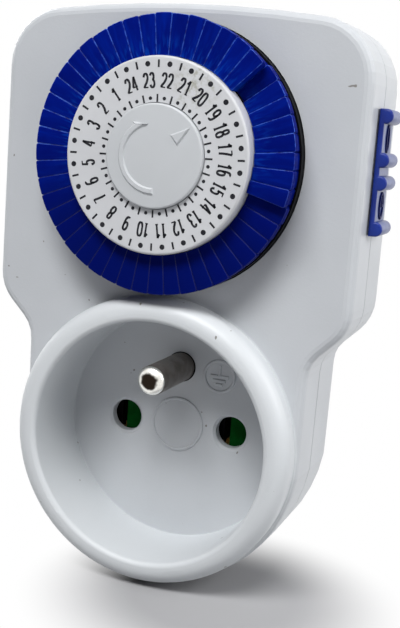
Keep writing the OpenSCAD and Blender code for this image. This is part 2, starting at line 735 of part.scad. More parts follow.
// ---- microswitch ----
module microswitch_case() {
    x0 = ms_x - ms_w / 2;
    x1 = ms_x + ms_w / 2;
    ear = 1.6;
    color(black) difference() {
        union() {
            block([x0, ms_front_y, ms_z0], [x1, back_in_y - cover_t, ms_z1]);
            for (x = [x0, x1 - 1])
                block([x, lever_y - ear, lever_z - ear], [x + 1, ms_front_y + 0.1, lever_z + ear]);
        }
        rod(ms_x, button_z, ms_front_y - 1, ms_front_y + 4, button_r + run_gap);
        cross_rod(x0 - 1, x1 + 1, lever_y, lever_z, axle_r);
    }
}
module microswitch_cover() {
    color(red) block([ms_x - ms_w / 2, back_in_y - cover_t, ms_z0], [ms_x + ms_w / 2, back_in_y, ms_z1]);
}
module microswitch_terminals() {
    x1 = ms_x - ms_w / 2;
    color(brass) {
        block([x1 - 1.4, feed_y - leaf_t, 26], [x1, feed_y, 29]);
        block([x1 - 1.4, switched_y - leaf_t, 30], [x1, switched_y, 33]);
    }
}
module microswitch_button() {
    color(white) rod(ms_x, button_z, lever_y + 0.75, ms_front_y + 2.4, button_r);
}
module lever_pin() {
    color(steel) cross_rod(ms_x - ms_w / 2, ms_x + ms_w / 2, lever_y, lever_z, axle_r);
}
// Its nose stands in the way of the legs of pushed-in tabs; its wing is pressed by the slide switch
module cam_lever() {
    foot_x = 16.8;
    nose_x = 19;
    nose_r = 0.9;
    color(natural) difference() {
        union() {
            cross_rod(ms_x - 2, ms_x + 2, lever_y, lever_z, 1.7);
            block([ms_x - 1.5, lever_y - 0.6, lever_z], [ms_x + 1.5, lever_y + 0.6, lever_top]);
            block([foot_x, lever_y - 1.2, lever_top - 3.3], [ms_x, lever_y + 0.6, lever_top]);
            block([ms_x, lever_y - 0.6, 31.5], [26, lever_y + 0.4, 34.5]);
            cross_rod(foot_x, nose_x, nose_y, nose_z, nose_r);
            block([foot_x, nose_y, nose_z - nose_r], [nose_x, lever_y, nose_z + nose_r]);
        }
        cross_rod(ms_x - 3, ms_x + 3, lever_y, lever_z, axle_r + run_gap);
    }
}

// ---- slide switch ----
// A finger ridge across the plate
module ridge(z) {
    translate([side_x + 1.15, seam_y - switch_w / 2, z]) rotate([-90, 0, 0])
        cylinder(h = switch_w, r = ridge_r);
}
// A raised pad with round ends, which carries the mark of one of the two settings
module pad(z, w, h) {
    translate([side_x + stem_gap, seam_y, z]) rotate([0, 90, 0])
        linear_extrude(plate_t + pad_t) round_rect(0, 0, h, w, min(w, h) / 2 - 0.05);
}
module slide_switch() {
    x0 = side_x + 0.15;
    z0 = switch_z - switch_len / 2;
    z1 = switch_z + switch_len / 2;
    y0 = seam_y - switch_w / 2;
    y1 = seam_y + switch_w / 2;
    color(blue) difference() {
        union() {
            block([x0, y0, z0], [x0 + plate_t, y1, z1]);
            ridge(z1 - ridge_r);
            ridge(upper_ridge_z);
            ridge(lower_ridge_z);
            ridge(z0 + ridge_r);
            pad((z1 - ridge_r + upper_ridge_z) / 2, 1.6, 3.4);
            pad((z0 + ridge_r + lower_ridge_z) / 2, 3.4, 3.8);
        }
        block([side_x - 2, y0 - 1, z0 - 1], [x0, y1 + 1, z1 + 1]);
    }
}
// Stem through the wall, a plate that keeps it in, and a finger over the lever's wing
module switch_cam() {
    keep_x = side_x - wall - 0.1;
    color(blue) {
        block([26.2, seam_y - stem_w / 2, stem_z - stem_h / 2],
            [side_x + 0.15, seam_y + stem_w / 2, stem_z + stem_h / 2]);
        block([26.2, seam_y - 1.6, stem_z - 4], [keep_x, seam_y + 1.6, stem_z + 4]);
        block([25.2, seam_y - 2.2, stem_z - 7.5], [keep_x, seam_y - 1.2, stem_z - 3]);
    }
}

// ---- fasteners ----
module cross_slot(s, y0, y1, r) {
    block([s[0] - r, y0, s[1] - 0.3], [s[0] + r, y1, s[1] + 0.3]);
    block([s[0] - 0.3, y0, s[1] - r], [s[0] + 0.3, y1, s[1] + r]);
}
module housing_screws() {
    head_y = seat_y + screw_head_t;
    color(steel) for (s = screw_spots) difference() {
        union() {
            rod(s[0], s[1], face_y + 2.3, seat_y, screw_r);
            rod(s[0], s[1], seat_y, head_y, screw_head_r);
        }
        cross_slot(s, head_y - 0.7, head_y + 1, 1.3);
    }
}
module plate_screws() {
    head_y = plate_front_y - 1.1;
    color(steel) for (s = plate_spots) difference() {
        union() {
            rod(s[0], s[1], plate_front_y, plate_back_y + 5, plate_screw_r);
            rod(s[0], s[1], head_y, plate_front_y, 1.8);
        }
        cross_slot(s, head_y - 1, head_y + 0.5, 1.2);
    }
}

front_shell();
back_shell();
plug_face();
plug_pin(pin_spacing / 2);  // plug_pin_live
plug_pin(-pin_spacing / 2);  // plug_pin_neutral
plug_earth_sleeve();
plug_earth_clips();
earth_link();
socket_earth_pin();
contact_holder();
live_contact();
neutral_contact();
live_feed_bar();
live_switched_bar();
shutter();
shutter_spring();
movement_plate();
motor_can();
motor_pinion();
idler_axle();
idler_gear();
dial_post();
pointer_hub();
dial_gear();
tab_carrier();
number_disc();
set_tab(0);  // tab_19_00
set_tab(1);  // tab_18_30
set_tab(2);  // tab_18_00
set_tab(3);  // tab_17_30
set_tab(4);  // tab_17_00
set_tab(5);  // tab_16_30
set_tab(6);  // tab_16_00
set_tab(7);  // tab_15_30
tab_group(1);  // tabs_noon
tab_group(2);  // tabs_morning
tab_group(3);  // tabs_early
tab_group(4);  // tabs_night
tab_group(5);  // tabs_evening
microswitch_case();
microswitch_cover();
microswitch_terminals();
microswitch_button();
lever_pin();
cam_lever();
slide_switch();
switch_cam();
housing_screws();
plate_screws();
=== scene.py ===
import math
import random
import bmesh
import bpy
from mathutils import Matrix, Vector


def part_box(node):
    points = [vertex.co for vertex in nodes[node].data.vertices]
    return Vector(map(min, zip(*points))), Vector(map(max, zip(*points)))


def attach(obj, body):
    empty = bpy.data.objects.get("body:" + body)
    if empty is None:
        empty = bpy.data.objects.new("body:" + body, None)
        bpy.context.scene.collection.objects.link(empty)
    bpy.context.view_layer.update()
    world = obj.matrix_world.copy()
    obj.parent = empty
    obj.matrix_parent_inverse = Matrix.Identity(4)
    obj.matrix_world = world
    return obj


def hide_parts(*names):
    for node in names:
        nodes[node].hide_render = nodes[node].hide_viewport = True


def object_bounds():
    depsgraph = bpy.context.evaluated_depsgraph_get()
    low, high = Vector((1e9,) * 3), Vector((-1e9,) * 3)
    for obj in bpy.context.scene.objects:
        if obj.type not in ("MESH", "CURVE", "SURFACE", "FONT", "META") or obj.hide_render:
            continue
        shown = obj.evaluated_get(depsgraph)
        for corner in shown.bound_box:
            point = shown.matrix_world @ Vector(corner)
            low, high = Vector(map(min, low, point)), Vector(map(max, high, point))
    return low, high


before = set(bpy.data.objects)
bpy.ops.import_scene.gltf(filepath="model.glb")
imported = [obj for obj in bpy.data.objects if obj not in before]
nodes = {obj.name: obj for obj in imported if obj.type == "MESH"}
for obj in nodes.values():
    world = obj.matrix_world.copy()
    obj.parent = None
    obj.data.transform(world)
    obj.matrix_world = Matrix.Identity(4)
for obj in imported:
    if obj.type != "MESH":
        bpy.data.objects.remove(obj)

mm = 0.001
cadBox = [list(corner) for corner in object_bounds()]
print("frame loaded,", len(nodes), "nodes")


# lowest and highest corner of a node in mm
def boxOf(name):
    return [Vector(corner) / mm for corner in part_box(name)]


# places read from the solids, so that every piece sits on what carries it
discLow, discHigh = boxOf("number_disc")
hubLow, hubHigh = boxOf("pointer_hub")
pinLow, pinHigh = boxOf("socket_earth_pin")
switchLow, switchHigh = boxOf("slide_switch")
dialX = (discLow.x + discHigh.x) / 2
dialZ = (discLow.z + discHigh.z) / 2
discFront = discLow.y
discRadius = (discHigh.x - discLow.x) / 2
recessFloor = pinLow.y + 14    # the earth pin stands 14 mm proud of it
pinAxis = ((pinLow.x + pinHigh.x) / 2, (pinLow.z + pinHigh.z) / 2)
recessAxis = (0, 0)


# a mesh object that rides on a body, takes its finish from a slot and may stand for a node
def finishPiece(name, bm, body, materials, smoothAngle=35, node=None):
    mesh = bpy.data.meshes.new(name)
    bmesh.ops.recalc_face_normals(bm, faces=bm.faces)
    bm.to_mesh(mesh)
    bm.free()
    for material in materials:
        mesh.materials.append(material)
    # smooth shading, with edges above the angle kept sharp
    mesh.polygons.foreach_set("use_smooth", [True] * len(mesh.polygons))
    mesh.set_sharp_from_angle(angle=math.radians(smoothAngle))
    piece = bpy.data.objects.new(name, mesh)
    bpy.context.scene.collection.objects.link(piece)
    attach(piece, body)
    if node:
        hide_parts(node)


# a skin through rings of equal length, with both ends filled; paint gives a material for each band
def skinRings(bm, rings, closed=False, paint=None):
    verts = [[bm.verts.new(point * mm) for point in ring] for ring in rings]
    count = len(rings[0])
    pairs = list(zip(verts, verts[1:])) + ([(verts[-1], verts[0])] if closed else [])
    for k, (a, b) in enumerate(pairs):
        for i in range(count):
            j = (i + 1) % count
            bm.faces.new((a[i], a[j], b[j], b[i])).material_index = paint[k] if paint else 0
    if not closed:
        bm.faces.new(verts[0])
        bm.faces.new(verts[-1])


# points of an arc in a plane, angles in degrees
def arcPoints(cx, cy, rx, ry, start, end, steps):
    angles = [math.radians(start + (end - start) * i / steps) for i in range(steps + 1)]
    return [(cx + rx * math.cos(a), cy + ry * math.sin(a)) for a in angles]


# points of a whole ellipse, the first one not repeated
def ellipsePoints(cx, cy, rx, ry, count):
    return arcPoints(cx, cy, rx, ry, 0, 360, count)[:-1]


# a closed anticlockwise path moved inwards by a distance, with mitred corners; the limit keeps the mitre
# of a sharp corner short
def insetPath(path, distance, limit=0.35):
    made = []
    count = len(path)
    for i, (u, v) in enumerate(path):
        before, after = path[i - 1], path[(i + 1) % count]
        coming = math.atan2(v - before[1], u - before[0])
        going = math.atan2(after[1] - v, after[0] - u)
        half = ((going - coming + math.pi) % (2 * math.pi) - math.pi) / 2
        reach = distance / max(math.cos(half), limit)
        made.append((u - reach * math.sin(coming + half), v + reach * math.cos(coming + half)))
    return made


# a ring of points of a profile that is turned round a line along Y
def turnedRing(x, z, radius, y, steps=96):
    turns = [2 * math.pi * i / steps for i in range(steps)]
    return [Vector((x + radius * math.sin(a), y, z + radius * math.cos(a))) for a in turns]


# a solid raised from a closed path through levels of (inset, height)
def raisePath(bm, path, place, levels, paint=None):
    rings = [[place(u, v, height) for u, v in insetPath(path, inset)] for inset, height in levels]
    skinRings(bm, rings, paint=paint)


# levels of a rounded edge that ends at a height
def roundedLevels(radius, height, steps=3):
    turns = [math.radians(90 * i / steps) for i in range(steps + 1)]
    return [(radius * (1 - math.cos(a)), height - radius * (1 - math.sin(a))) for a in turns]


# how far below the surface the ridges and dots start, in mm
sunk = 0.03


# a low ridge along a flat path; place turns (u, v, height) into a point
def sweepRidge(bm, path, place, halfWidth, height, slope=0.0, closed=False):
    count = len(path)
    rings = []
    for i in range(count):
        before = path[i - 1] if closed or i else path[i]
        after = path[(i + 1) % count] if closed or i < count - 1 else path[i]
        du, dv = after[0] - before[0], after[1] - before[1]
        length = math.hypot(du, dv)
        du, dv = du / length, dv / length
        w = halfWidth(du, dv) if callable(halfWidth) else halfWidth
        u, v = path[i]
        section = [(-w - slope, -sunk), (-w - slope, 0), (-w, height), (w, height), (w + slope, 0),
                   (w + slope, -sunk)]
        rings.append([place(u - dv * s, v + du * s, h) for s, h in section])
    skinRings(bm, rings, closed)


# a point of the dial's front, turned by an angle clockwise from the top
def onDial(angle, front):
    turn = math.radians(angle)
    return lambda u, v, height: Vector((dialX + v * math.sin(turn) + u * math.cos(turn), front - height,
                                        dialZ + v * math.cos(turn) - u * math.sin(turn)))


# a shader node with its input values and its own settings
def addNode(tree, kind, values=None, **settings):
    made = tree.nodes.new(kind)
    for name, value in settings.items():
        setattr(made, name, value)
    for name, value in (values or {}).items():
        made.inputs[name].default_value = value
    return made


def rgb(red, green, blue):
    return (red, green, blue, 1.0)


white = rgb(1.0, 1.0, 1.0)


# links what is a socket and writes what is a number or a colour
def feed(tree, socket, value):
    if isinstance(value, (tuple, float)):
        socket.default_value = value
    else:
        tree.links.new(value, socket)


# noise in the object's own space; size is in mm
def noiseAt(tree, coords, size, detail=3.0, roughness=0.55):
    noise = addNode(tree, "ShaderNodeTexNoise", {
        "Scale": 1 / (size * mm), "Detail": detail, "Roughness": roughness})
    tree.links.new(coords, noise.inputs["Vector"])
    return noise.outputs["Fac"]


# a smooth step from 0 at the first value to 1 at the last
def stepBetween(tree, value, first, last):
    ends = {"From Min": first, "From Max": last}
    step = addNode(tree, "ShaderNodeMapRange", ends, interpolation_type="SMOOTHSTEP")
    tree.links.new(value, step.inputs["Value"])
    return step.outputs["Result"]


# inputs 0, 6 and 7 of a colour mix are its factor and its two colours
def mixColours(tree, factor, first, second):
    mix = addNode(tree, "ShaderNodeMix", data_type="RGBA")
    for index, value in ((0, factor), (6, first), (7, second)):
        feed(tree, mix.inputs[index], value)
    return mix.outputs[2]


# one step of arithmetic on sockets or numbers
def calculate(tree, operation, a, b=0.0):
    made = addNode(tree, "ShaderNodeMath", operation=operation)
    feed(tree, made.inputs[0], a)
    feed(tree, made.inputs[1], b)
    return made.outputs[0]


# distance in m of a surface point from a line along Y through (x, z) in mm, and its angle round it
def roundLine(tree, coords, x, z):
    split = addNode(tree, "ShaderNodeSeparateXYZ")
    tree.links.new(coords, split.inputs[0])
    across = calculate(tree, "SUBTRACT", split.outputs["X"], x * mm)
    upward = calculate(tree, "SUBTRACT", split.outputs["Z"], z * mm)
    squares = calculate(tree, "ADD", calculate(tree, "MULTIPLY", across, across),
                        calculate(tree, "MULTIPLY", upward, upward))
    return calculate(tree, "SQRT", squares), calculate(tree, "ARCTAN2", across, upward)


# coordinates that stretch a noise along the dial's radii, so that it gives streaks that run outwards
def alongRadii(tree, coords, stretch):
    radius, angle = roundLine(tree, coords, dialX, dialZ)
    joined = addNode(tree, "ShaderNodeCombineXYZ")
    tree.links.new(calculate(tree, "MULTIPLY", radius, 1 / stretch), joined.inputs["X"])
    tree.links.new(calculate(tree, "MULTIPLY", angle, discRadius * mm), joined.inputs["Y"])
    return joined.outputs[0]


# the ring of tabs, needed by their finish too
tabRing = {
    "count": 48, "phase": 1.5,    # clockwise angle of the first joint, from the top
    "firstSet": 6, "group": 8, "deep": 1.8, "slack": 0.5,
    "innerRadius": discRadius + 0.08, "gap": 0.012, "corner": 0.3, "edge": 0.08,
    "headRadius": 20.87, "shankRadius": 20.3, "headDepth": (1.5, 2.0),    # the outer end is wider in front
    "depth": 4.95, "usualFront": discFront + 1.75, "wobble": 0.04, "ragged": 0.12, "seed": 7,
    "legWidth": 1.2, "legFrom": 18.3, "legTo": 19.5, "legLength": 3.7, "legEdge": 0.15, "legSunk": 0.5,
    "cornerMiddle": (0.29, 0.69), "raggedBetween": (-1, 0.4), "headPaint": [0, 0, 0, 1, 1, 1]}


# what the finishes share; a pair is where a noise or a place starts to count and where it counts in full
finishing = {
    "mottle": (0.3, 0.7), "roughSize": 0.4, "grainDepth": 0.1, "speckEdge": 0.02,
    "smudge": (0.44, 0.72), "smudgeCore": 0.3,
    "streak": (0.42, 0.75), "streakStretch": 9.0,
    "scuff": (0.45, 0.7), "scuffStretch": 5.0, "scuffSize": 0.5,
    "upperWearAndLight": (-0.5, 0.3), "paintedShadeLowHalf": (0.2, -0.7), "otherShare": 0.45, "rubbed": (0.36, 0.6),
    "tarnish": (0.35, 0.75), "lineDepth": 0.02, "paintedReflectionEdge": 0.6}


# a finish before anything is added: its material, nodes and shader, and the piece's own coordinates
def startFinish(name):
    material = bpy.data.materials.new(name)
    material.use_nodes = True
    tree = material.node_tree
    coords = addNode(tree, "ShaderNodeTexCoord").outputs["Object"]
    return material, tree, tree.nodes["Principled BSDF"], coords


# roughness between two values, and a fine relief with its depth in mm
def addSurface(tree, shader, roughBy, roughness, reliefBy, strength, depth):
    rough = addNode(tree, "ShaderNodeMapRange", {"To Min": roughness[0], "To Max": roughness[1]})
    tree.links.new(roughBy, rough.inputs["Value"])
    tree.links.new(rough.outputs["Result"], shader.inputs["Roughness"])
    bump = addNode(tree, "ShaderNodeBump", {"Strength": strength, "Distance": depth * mm})
    tree.links.new(reliefBy, bump.inputs["Height"])
    tree.links.new(bump.outputs["Normal"], shader.inputs["Normal"])


# what the tabs' blue has besides mottling: streaks that run outwards, and a darker tone for some tabs that
# is painted shade;
# the lower half is darkened by painted shade, and painted light keeps the bright scuffs near the inner ends
# and the worn edges to the upper half
def tabColour(tree, coords, look, colour):
    radius, angle = roundLine(tree, coords, dialX, dialZ)
    upward = calculate(tree, "COSINE", angle)
    # 1 on the upper half and 0 on the lower: it keeps the bright scuffs and the lighter worn edges where
    #                                         the light falls, painted light over the scuffs and wear
    upperWearAndLight = stepBetween(tree, upward, *finishing["upperWearAndLight"])
    along = alongRadii(tree, coords, finishing["streakStretch"])
    streaks = stepBetween(tree, noiseAt(tree, along, look["streakSize"], detail=2.0), *finishing["streak"])
    colour = mixColours(tree, streaks, colour, look["streak"])
    # the lower half turns to the darker blue: painted shade
    colour = mixColours(tree, stepBetween(tree, upward, *finishing["paintedShadeLowHalf"]), colour, look["low"])
    # bright scuffs near the inner ends, on the upper half only: partly scuffs, partly painted light
    inEnd, outEnd = look["brightEnd"]
    inner = calculate(tree, "MULTIPLY", stepBetween(tree, radius, outEnd * mm, inEnd * mm), upperWearAndLight)
    along = alongRadii(tree, coords, finishing["scuffStretch"])
    size = look["streakSize"] * finishing["scuffSize"]
    scuffs = stepBetween(tree, noiseAt(tree, along, size, detail=1.0), *finishing["scuff"])
    colour = mixColours(tree, calculate(tree, "MULTIPLY", inner, scuffs), colour, look["bright"])
    # a darker tone for some tabs, at random: painted shade that stands in for tabs tilted a little
    turned = calculate(tree, "SUBTRACT", angle, math.radians(tabRing["phase"]))
    tab = calculate(tree, "FLOOR", calculate(tree, "DIVIDE", turned, math.radians(360 / tabRing["count"])))
    tone = addNode(tree, "ShaderNodeTexWhiteNoise", noise_dimensions="1D")
    tree.links.new(tab, tone.inputs["W"])
    share = calculate(tree, "MULTIPLY", tone.outputs["Value"], finishing["otherShare"])
    colour = mixColours(tree, share, colour, look["other"])
    # lighter worn patches on the head edges, on the upper half only: wear, with painted light
    if "wearAndPaintedLight" in look:
        rubbed = noiseAt(tree, coords, look["wearAndPaintedLightSize"], detail=2.0)
        rubbed = stepBetween(tree, rubbed, *finishing["rubbed"])
        colour = mixColours(tree, calculate(tree, "MULTIPLY", rubbed, upperWearAndLight), colour, look["wearAndPaintedLight"])
    return colour


# moulded plastic: broad mottling, fine moulded grain, and what its look adds to them
def mouldedPlastic(name, look):
    material, tree, shader, coords = startFinish(name)
    mottle = stepBetween(tree, noiseAt(tree, coords, look["mottleSize"]), *finishing["mottle"])
    colour = mixColours(tree, mottle, look["colour"], look["mottle"])
    if "streak" in look:
        colour = tabColour(tree, coords, look, colour)
    # a lighter band on the collar and the recess wall: painted light
    if "rim" in look:
        away = roundLine(tree, coords, *recessAxis)[0]
        edges = [stepBetween(tree, away, first * mm, last * mm) for first, last in look["rimEdges"]]
        colour = mixColours(tree, calculate(tree, "MULTIPLY", *edges), colour, look["rim"])
    if "speck" in look:
        level = look["speckLevel"]
        specks = noiseAt(tree, coords, look["speckSize"], detail=1.0)
        specks = stepBetween(tree, specks, level, level + finishing["speckEdge"])
        colour = mixColours(tree, specks, colour, look["speck"])
    if "smudge" in look:
        away = roundLine(tree, coords, *look["smudgeAt"])[0]
        reach = look["smudgeReach"]
        near = stepBetween(tree, away, reach * mm, reach * finishing["smudgeCore"] * mm)
        patches = noiseAt(tree, coords, look["smudgeSize"], detail=4.0, roughness=0.7)
        patches = stepBetween(tree, patches, *finishing["smudge"])
        colour = mixColours(tree, calculate(tree, "MULTIPLY", near, patches), colour, look["smudge"])
    tree.links.new(colour, shader.inputs["Base Color"])
    broad = noiseAt(tree, coords, look["mottleSize"] * finishing["roughSize"])
    grain = noiseAt(tree, coords, look["grainSize"], detail=2.0)
    depth = look["grainSize"] * finishing["grainDepth"]
    addSurface(tree, shader, broad, look["roughness"], grain, look["grain"], depth)
    shader.inputs["Specular IOR Level"].default_value = look.get("specular", 0.5)
    return material


# plated, stamped or turned metal: fine lines along one axis and a little tarnish
def workedMetal(name, look):
    material, tree, shader, coords = startFinish(name)
    stretch = addNode(tree, "ShaderNodeMapping", {"Scale": look["lines"]})
    tree.links.new(coords, stretch.inputs["Vector"])
    lines = noiseAt(tree, stretch.outputs["Vector"], look["lineSize"], detail=4.0)
    tarnish = stepBetween(tree, noiseAt(tree, coords, look["tarnishSize"]), *finishing["tarnish"])
    colour = mixColours(tree, tarnish, look["colour"], look["tarnish"])
    # a dark middle painted round a point: a painted reflection
    if "wearAndPaintedLight" in look:
        uneven = noiseAt(tree, coords, look["wearAndPaintedLightSize"], detail=1.0)
        uneven = calculate(tree, "MULTIPLY", uneven, finishing["paintedReflectionEdge"] * mm)
        away = calculate(tree, "ADD", roundLine(tree, coords, *look["paintedReflectionAt"])[0], uneven)
        inEnd, outEnd = look["paintedReflectionRadius"]
        wearAndPaintedLight = stepBetween(tree, away, outEnd * mm, inEnd * mm)
        colour = mixColours(tree, wearAndPaintedLight, colour, look["wearAndPaintedLight"])
    tree.links.new(colour, shader.inputs["Base Color"])
    addSurface(tree, shader, lines, look["roughness"], lines, look["relief"], finishing["lineDepth"])
    shader.inputs["Metallic"].default_value = 1.0
    return material


greyLook = {
    "colour": rgb(0.535, 0.555, 0.58), "mottle": rgb(0.51, 0.53, 0.555), "mottleSize": 18.0,
    "roughness": (0.30, 0.42), "grain": 0.4, "grainSize": 0.4, "specular": 0.3,
    "speck": rgb(0.22, 0.21, 0.20), "speckSize": 1.25, "speckLevel": 0.785}
housingGrey = mouldedPlastic("housingGrey", greyLook)
# the collar round the recess and the recess wall are painted lighter: painted light where they should catch
# more light
collarGreyPaintedLight = mouldedPlastic("collarGreyPaintedLight", {
    **greyLook, "rim": rgb(0.605, 0.63, 0.65), "rimEdges": ((19.1, 19.35), (23.6, 23.3))})
hubGrey = mouldedPlastic("hubGrey", {
    "colour": rgb(0.54, 0.56, 0.58), "mottle": rgb(0.52, 0.54, 0.56), "mottleSize": 9.0,
    "roughness": (0.34, 0.44), "grain": 0.15, "grainSize": 0.3, "specular": 0.3})
dialWhite = mouldedPlastic("dialWhite", {
    "colour": rgb(0.60, 0.61, 0.63), "mottle": rgb(0.57, 0.58, 0.60), "mottleSize": 7.0,
    "roughness": (0.38, 0.5), "grain": 0.2, "grainSize": 0.3, "specular": 0.3,
    "smudge": rgb(0.33, 0.33, 0.27), "smudgeAt": (dialX + 5.6, dialZ + 10.6), "smudgeReach": 4.8,
    "smudgeSize": 1.1})
printBlack = mouldedPlastic("printBlack", {
    "colour": rgb(0.012, 0.012, 0.016), "mottle": rgb(0.03, 0.03, 0.035), "mottleSize": 0.6,
    "roughness": (0.5, 0.6), "grain": 0.1, "grainSize": 0.2, "specular": 0.1})
tabLook = {
    "colour": rgb(0.0, 0.005, 0.155), "mottle": rgb(0.0, 0.008, 0.20), "mottleSize": 5.0,
    "low": rgb(0.0, 0.004, 0.10), "streak": rgb(0.0, 0.012, 0.25), "streakSize": 0.8,
    "bright": rgb(0.001, 0.035, 0.33), "brightEnd": (15.0, 18.5),
    "other": rgb(0.0, 0.003, 0.11), "roughness": (0.40, 0.52), "grain": 0.2, "grainSize": 0.4,
    "specular": 0.03}
tabBlue = mouldedPlastic("tabBlue", tabLook)
# the tabs' head edges: lighter worn patches, which painted light keeps to the upper half
tabEdgeBlue = mouldedPlastic("tabEdgeBlue", {
    **tabLook, "wearAndPaintedLight": rgb(0.03, 0.10, 0.52), "wearAndPaintedLightSize": 0.9, "specular": 0.25})
switchBlue = mouldedPlastic("switchBlue", {
    "colour": rgb(0.003, 0.016, 0.18), "mottle": rgb(0.005, 0.026, 0.23), "mottleSize": 4.0,
    "roughness": (0.30, 0.40), "grain": 0.2, "grainSize": 0.4, "specular": 0.3})
# the switch's outward faces painted pale: a painted reflection of the white room
switchPaintedReflection = mouldedPlastic("switchPaintedReflection", {
    "colour": rgb(0.015, 0.035, 0.18), "mottle": rgb(0.045, 0.07, 0.22), "mottleSize": 1.4,
    "roughness": (0.28, 0.38), "grain": 0.2, "grainSize": 0.4, "specular": 0.4})
markBlue = mouldedPlastic("markBlue", {
    "colour": rgb(0.0, 0.002, 0.05), "mottle": rgb(0.0, 0.004, 0.08), "mottleSize": 1.5,
    "roughness": (0.5, 0.6), "grain": 0.2, "grainSize": 0.3, "specular": 0.1})
carrierBlack = mouldedPlastic("carrierBlack", {
    "colour": rgb(0.002, 0.002, 0.003), "mottle": rgb(0.005, 0.005, 0.006), "mottleSize": 4.0,
    "roughness": (0.4, 0.5), "grain": 0.2, "grainSize": 0.4, "specular": 0.06})
shutterGreen = mouldedPlastic("shutterGreen", {
    "colour": rgb(0.0, 0.06, 0.007), "mottle": rgb(0.0, 0.035, 0.003), "mottleSize": 2.5,
    "roughness": (0.40, 0.5), "grain": 0.2, "grainSize": 0.3, "specular": 0.02})
naturalNylon = mouldedPlastic("naturalNylon", {
    "colour": rgb(0.78, 0.75, 0.65), "mottle": rgb(0.72, 0.69, 0.58), "mottleSize": 6.0,
    "roughness": (0.35, 0.45), "grain": 0.15, "grainSize": 0.3})
coverRed = mouldedPlastic("coverRed", {
    "colour": rgb(0.28, 0.02, 0.02), "mottle": rgb(0.22, 0.015, 0.015), "mottleSize": 4.0,
    "roughness": (0.3, 0.4), "grain": 0.15, "grainSize": 0.3})
dullNickel = workedMetal("dullNickel", {
    "colour": rgb(0.60, 0.58, 0.55), "tarnish": rgb(0.42, 0.40, 0.37), "tarnishSize": 3.0,
    "lines": (1.0, 0.12, 1.0), "lineSize": 0.25, "roughness": (0.22, 0.38), "relief": 0.25})
darkNickel = workedMetal("darkNickel", {
    "colour": rgb(0.31, 0.28, 0.25), "tarnish": rgb(0.19, 0.165, 0.145), "tarnishSize": 2.5,
    "lines": (1.0, 0.12, 1.0), "lineSize": 0.25, "roughness": (0.30, 0.45), "relief": 0.3})
# the earth pin's tip: a bright ring round a dark middle, a painted reflection
tipPaintedReflection = workedMetal("tipPaintedReflection", {
    "colour": rgb(0.92, 0.91, 0.87), "tarnish": rgb(0.78, 0.76, 0.70), "tarnishSize": 1.2,
    "wearAndPaintedLight": rgb(0.022, 0.016, 0.012), "paintedReflectionAt": pinAxis, "paintedReflectionRadius": (1.4, 1.9), "wearAndPaintedLightSize": 0.9,
    "lines": (1.0, 1.0, 1.0), "lineSize": 0.3, "roughness": (0.16, 0.28), "relief": 0.15})
zincSteel = workedMetal("zincSteel", {
    "colour": rgb(0.58, 0.60, 0.62), "tarnish": rgb(0.46, 0.48, 0.50), "tarnishSize": 2.5,
    "lines": (1.0, 0.2, 1.0), "lineSize": 0.3, "roughness": (0.25, 0.42), "relief": 0.2})
brassStrip = workedMetal("brassStrip", {
    "colour": rgb(0.70, 0.52, 0.22), "tarnish": rgb(0.48, 0.33, 0.13), "tarnishSize": 4.0,
    "lines": (1.0, 1.0, 0.15), "lineSize": 0.3, "roughness": (0.25, 0.42), "relief": 0.2})
print("finishes made")

finishOfNode = {
    "front_shell": collarGreyPaintedLight, "back_shell": housingGrey, "plug_face": housingGrey, "pointer_hub": hubGrey,
    "number_disc": dialWhite, "tab_carrier": carrierBlack, "microswitch_case": carrierBlack,
    "shutter": shutterGreen, "dial_gear": naturalNylon, "idler_gear": naturalNylon,
    "motor_pinion": naturalNylon, "cam_lever": naturalNylon, "movement_plate": naturalNylon,
    "contact_holder": carrierBlack, "microswitch_button": naturalNylon, "microswitch_cover": coverRed,
    "plug_pin_live": dullNickel, "plug_pin_neutral": dullNickel, "socket_earth_pin": dullNickel,
    "dial_post": zincSteel, "idler_axle": zincSteel, "lever_pin": zincSteel, "shutter_spring": zincSteel,
    "housing_screws": zincSteel, "plate_screws": zincSteel, "motor_can": zincSteel,
    "plug_earth_sleeve": brassStrip, "plug_earth_clips": brassStrip, "earth_link": brassStrip,
    "live_contact": brassStrip, "neutral_contact": brassStrip, "live_feed_bar": brassStrip,
    "live_switched_bar": brassStrip, "microswitch_terminals": brassStrip,
    "slide_switch": switchBlue, "switch_cam": switchBlue}
for name, piece in nodes.items():
    piece.data.materials.clear()
    piece.data.materials.append(finishOfNode.get(name, tabBlue))
print("solids dressed")

# the blue tabs: wedges with rounded outer corners and lighter worn edges, which painted light keeps to the
# upper half, each with a leg behind
tabNodes = ["tab_19_00", "tab_18_30", "tab_18_00", "tab_17_30",
            "tab_17_00", "tab_16_30", "tab_16_00", "tab_15_30"]
tabGroups = ["tabs_noon", "tabs_morning", "tabs_early", "tabs_night", "tabs_evening"]


# how far in from the usual height a tab stands; k counts clockwise from the tab of 19:00, which is pushed
# in furthest; the next seven rise from there, the eight after them rise from half that depth, and the last
# eight stand out by up to the slack
def tabLevel(k, settings):
    group, deep, slack = settings["group"], settings["deep"], settings["slack"]
    last = group - 1
    if k <= last:
        return deep - (deep + slack) * k / last
    if k < 2 * group:
        return 0.5 * deep * (2 * group - 1 - k) / last
    return -slack * max(0, k - settings["count"] + group) / last


# half a pitch on each side of the middle, less a gap, with rounded outer corners
def tabOutline(settings, outer):
    halfPitch = math.radians(180 / settings["count"])
    inner, corner = settings["innerRadius"], settings["corner"]
    side = lambda v: v * math.tan(halfPitch) - settings["gap"]
    low = outer - corner
    inward = side(low) - corner
    across, up = settings["cornerMiddle"]
    right = [(side(inner), inner), (side(low), low), (side(low) - corner * across, low + corner * up),
             (inward, math.sqrt(outer ** 2 - inward ** 2))]
    return right + [(0, outer)] + [(-u, v) for u, v in reversed(right)]


